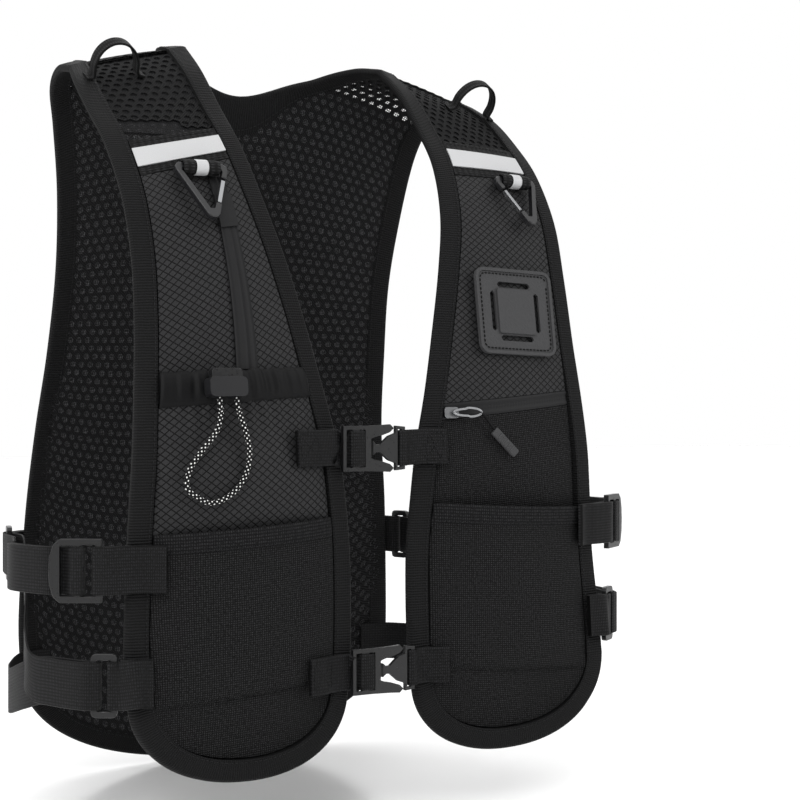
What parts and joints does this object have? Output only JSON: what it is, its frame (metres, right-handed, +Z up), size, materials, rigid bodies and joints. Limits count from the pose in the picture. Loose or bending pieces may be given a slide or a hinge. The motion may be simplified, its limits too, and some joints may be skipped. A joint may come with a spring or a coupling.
{
  "type": "running hydration vest",
  "caption": "Running hydration vest with pocketed front panels, a laced back panel, webbing side straps and two buckled chest straps.",
  "frame": {"origin": "midway between the two shoulder ridges, where the vest hangs on the shoulders of the person who wears it", "axes": "+Z up, -Y towards the front of the vest, -X towards the right side of the person who wears it"},
  "size_m": [0.3954, 0.2592, 0.4494],
  "materials": {
    "air_mesh": "black spacer mesh with hexagonal dimples",
    "ripstop": "charcoal ripstop with a diamond grid",
    "oxford": "plain woven black cloth",
    "nylon": "thin gathered black nylon",
    "grosgrain": "ribbed black edge tape",
    "webbing": "woven black webbing",
    "reflective": "silver reflective cloth",
    "coated": "smooth coated zip tape",
    "plastic": "black moulded acetal",
    "rubber": "dark grey moulded rubber",
    "elastic_cord": "speckled black and grey elastic cord",
    "steel": "bright metal"
  },
  "bodies": {
    "vest": {"back_cord_lock": "plastic", "back_cord_tails": "elastic_cord", "back_hang_loop": "webbing", "back_lacing": "elastic_cord", "back_mesh": "air_mesh", "back_reflective_pocket": "reflective", "back_shell": "ripstop", "back_stretch_pocket": "air_mesh", "chest_lower_catch": "plastic", "chest_lower_frame": "plastic", "chest_lower_webbing_L": "webbing", "chest_lower_webbing_R": "webbing", "chest_upper_catch": "plastic", "chest_upper_frame": "plastic", "chest_upper_webbing_L": "webbing", "chest_upper_webbing_R": "webbing", "edge_binding": "grosgrain", "front_L_chest_panel": "ripstop", "front_L_clip_roll": "webbing", "front_L_lash_patch": "rubber", "front_L_lower_pocket": "oxford", "front_L_mesh": "air_mesh", "front_L_mid_pocket": "oxford", "front_L_reflective_band": "reflective", "front_L_shoulder_loop": "webbing", "front_L_zip_slider": "steel", "front_L_zip_tape": "coated", "front_R_bungee": "elastic_cord", "front_R_chest_panel": "ripstop", "front_R_clip_roll": "webbing", "front_R_cord_lock": "plastic", "front_R_lower_pocket": "oxford", "front_R_mesh": "air_mesh", "front_R_mid_pocket": "ripstop", "front_R_pocket_mouth": "nylon", "front_R_reflective_band": "reflective", "front_R_shoulder_loop": "webbing", "front_R_zip_strip": "coated", "side_L_back_ring": "plastic", "side_L_back_tab": "webbing", "side_L_ladder_lock": "plastic", "side_L_lower_ring": "plastic", "side_L_lower_tab": "webbing", "side_L_strap": "webbing", "side_L_upper_tab": "webbing", "side_R_back_ring": "plastic", "side_R_back_tab": "webbing", "side_R_ladder_lock": "plastic", "side_R_lower_ring": "plastic", "side_R_lower_tab": "webbing", "side_R_strap": "webbing", "side_R_upper_tab": "webbing"},
    "clip_right": {"front_R_clip": "plastic"},
    "gate_right": {"front_R_clip_gate": "steel"},
    "clip_left": {"front_L_clip": "plastic"},
    "gate_left": {"front_L_clip_gate": "steel"},
    "button_front": {"front_R_cord_lock_button": "plastic"},
    "button_back": {"back_cord_lock_button": "plastic"},
    "pull_front": {"front_L_zip_pull": "steel"},
    "puller_back": {"back_zip_puller": "rubber"}
  },
  "joints": [
    {"name": "clip_right_swing", "type": "hinge", "parent": "vest", "child": "clip_right", "pos_m": [-0.09985, -0.08503, -0.06726], "axis": [0.9998, -0.0096, 0.0198], "range_deg": [-70, 0]},
    {"name": "gate_right_spring", "type": "hinge", "parent": "clip_right", "child": "gate_right", "pos_m": [-0.09403, -0.09636, -0.087], "axis": [0.0181, 0.8696, -0.4934], "range_deg": [-20, 0], "stiffness_Nm_per_rad": 0.02, "springref_deg": 17.19},
    {"name": "clip_left_swing", "type": "hinge", "parent": "vest", "child": "clip_left", "pos_m": [0.11588, -0.07976, -0.06024], "axis": [0.9958, 0.0887, -0.0243], "range_deg": [-70, 0]},
    {"name": "gate_left_spring", "type": "hinge", "parent": "clip_left", "child": "gate_left", "pos_m": [0.111, -0.09264, -0.07927], "axis": [-0.0876, 0.8353, -0.5428], "range_deg": [0, 20], "stiffness_Nm_per_rad": 0.02, "springref_deg": -17.19},
    {"name": "button_front_press", "type": "slide", "parent": "vest", "child": "button_front", "axis": [-0.0055, -0.1102, -0.9939], "range_m": [0, 0.003], "stiffness_N_per_m": 300, "springref_m": -0.004},
    {"name": "button_back_press", "type": "slide", "parent": "vest", "child": "button_back", "axis": [0, 0.1708, -0.9853], "range_m": [0, 0.003], "stiffness_N_per_m": 300, "springref_m": -0.004},
    {"name": "pull_front_swing", "type": "hinge", "parent": "vest", "child": "pull_front", "pos_m": [0.04771, -0.11375, -0.20113], "axis": [0.0122, 0.1017, 0.9947], "range_deg": [-120, 0]},
    {"name": "puller_back_swing", "type": "hinge", "parent": "vest", "child": "puller_back", "pos_m": [-0.0687, 0.07939, -0.07079], "axis": [0.0381, -0.1987, 0.9793], "range_deg": [-150, 0]}
  ]
}
